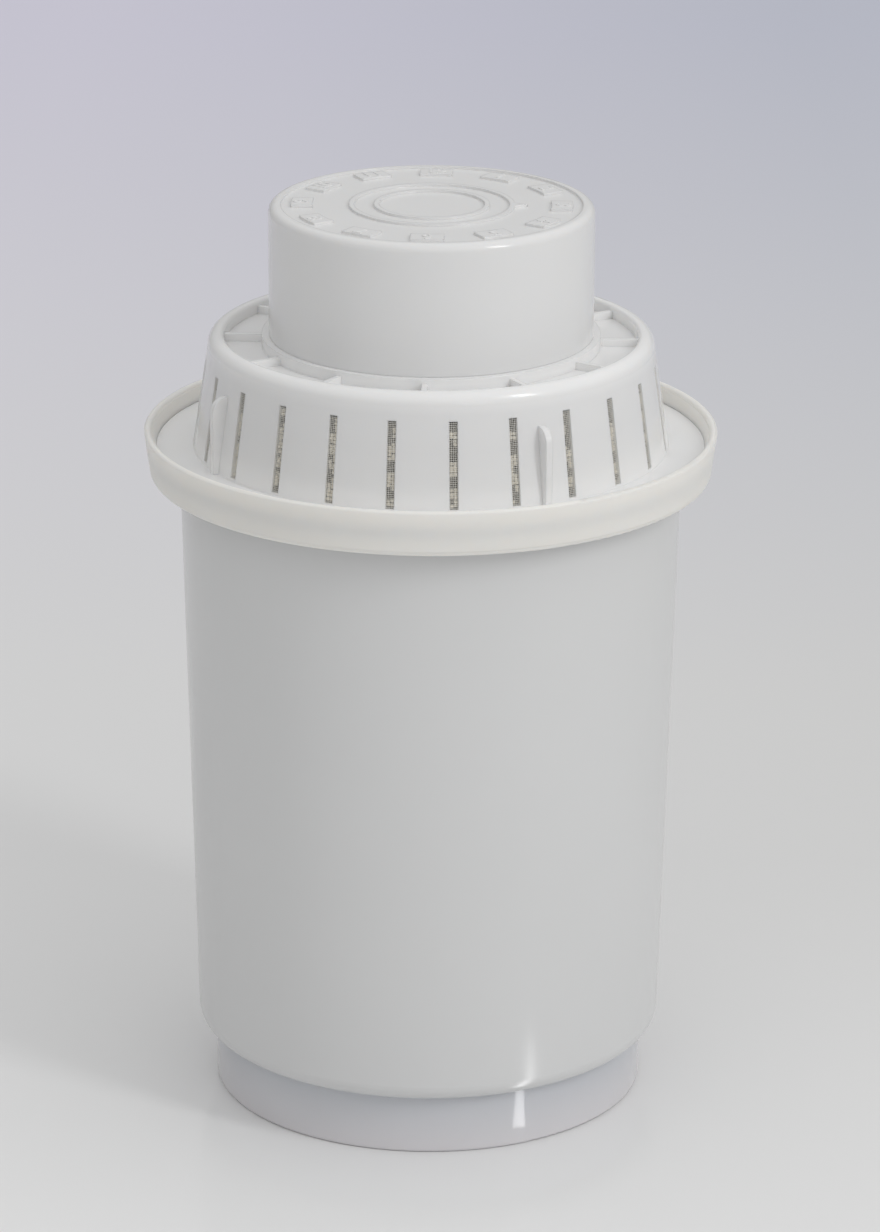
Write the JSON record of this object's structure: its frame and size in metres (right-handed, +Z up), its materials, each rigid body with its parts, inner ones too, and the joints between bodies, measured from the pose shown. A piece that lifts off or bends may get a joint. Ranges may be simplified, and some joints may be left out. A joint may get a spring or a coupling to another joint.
{
  "type": "water pitcher filter cartridge",
  "caption": "Free-standing water filter cartridge: a slotted head with a round grip cap and a soft sealing ring closes a tapered cup of granules on an outlet ring.",
  "frame": {"origin": "centre of the outlet ring's lower edge, on the surface the cartridge stands on", "axes": "+Z up along the cartridge's axis; the guide fins point along X and Y"},
  "size_m": [0.0978, 0.0978, 0.158],
  "materials": {
    "head_plastic": "white moulded plastic, satin",
    "cup_plastic": "light grey moulded plastic, satin",
    "clear_plastic": "cloudy clear moulded plastic, glossy",
    "soft_plastic": "ivory soft plastic, satin",
    "granules": "mixed carbon grains and resin beads",
    "mesh_cloth": "fine white woven mesh",
    "felt": "white needle felt"
  },
  "bodies": {
    "root": {"outlet_ring": "clear_plastic", "cup": "cup_plastic", "outlet_mesh": "mesh_cloth", "felt_pad": "felt", "granule_bed": "granules", "inlet_sleeve": "mesh_cloth", "head": "head_plastic", "grip_cap": "head_plastic", "rim_seal": "soft_plastic"}
  },
  "joints": []
}
